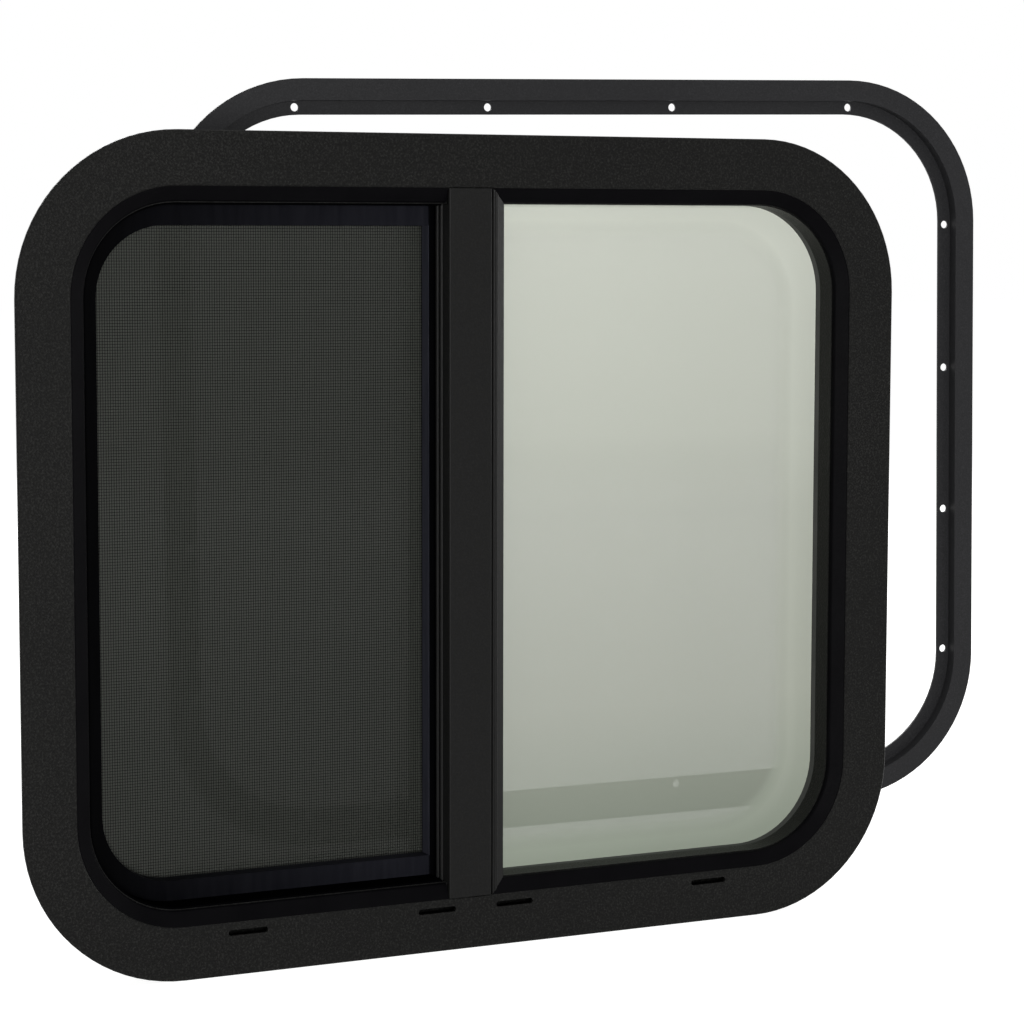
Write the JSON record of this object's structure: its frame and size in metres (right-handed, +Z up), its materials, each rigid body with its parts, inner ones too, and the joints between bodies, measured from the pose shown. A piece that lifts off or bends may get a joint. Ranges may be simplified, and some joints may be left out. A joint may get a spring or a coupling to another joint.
{
  "type": "caravan window",
  "caption": "Black sliding caravan window: flanged frame with rounded corners, a fixed pane, a sliding pane behind an insect screen, and its inner clamp ring shown taken off.",
  "frame": {"origin": "on the back of the outer flange, at the middle of its bottom overlap on the wall", "axes": "+Y runs inward through the wall, +Z is up, +X is to the right seen from outside"},
  "size_m": [0.6606, 0.1527, 0.4984],
  "materials": {
    "frame_coat": "fine black textured powder coat",
    "ring_coat": "satin charcoal powder coat",
    "screen_coat": "satin blue-black paint",
    "fixed_glass": "pale grey-green tint",
    "sash_glass": "dark tint",
    "seal_rubber": "matt black",
    "channel_lining": "flocked black",
    "pile": "woven pile",
    "screen_cloth": "black glass-fibre mesh",
    "latch_plastic": "moulded black"
  },
  "bodies": {
    "root": {"outer_frame": "frame_coat", "centre_mullion": "frame_coat", "mullion_pile_seal": "pile", "fixed_glass": "fixed_glass", "fixed_glass_gasket": "seal_rubber", "front_seal_left": "seal_rubber", "front_seal_right": "seal_rubber", "vent_bay_gasket": "seal_rubber", "screen_hoop": "screen_coat", "screen_stile": "screen_coat", "screen_mesh": "screen_cloth", "screen_spline": "seal_rubber", "sash_glass": "sash_glass", "sash_stile_gasket": "seal_rubber", "sash_meeting_stile": "frame_coat", "sash_latch_body": "latch_plastic", "sash_latch_lever": "latch_plastic", "run_channel_jamb": "channel_lining", "run_channel_top": "channel_lining", "run_channel_bottom": "channel_lining", "clamp_ring": "ring_coat"}
  },
  "joints": []
}
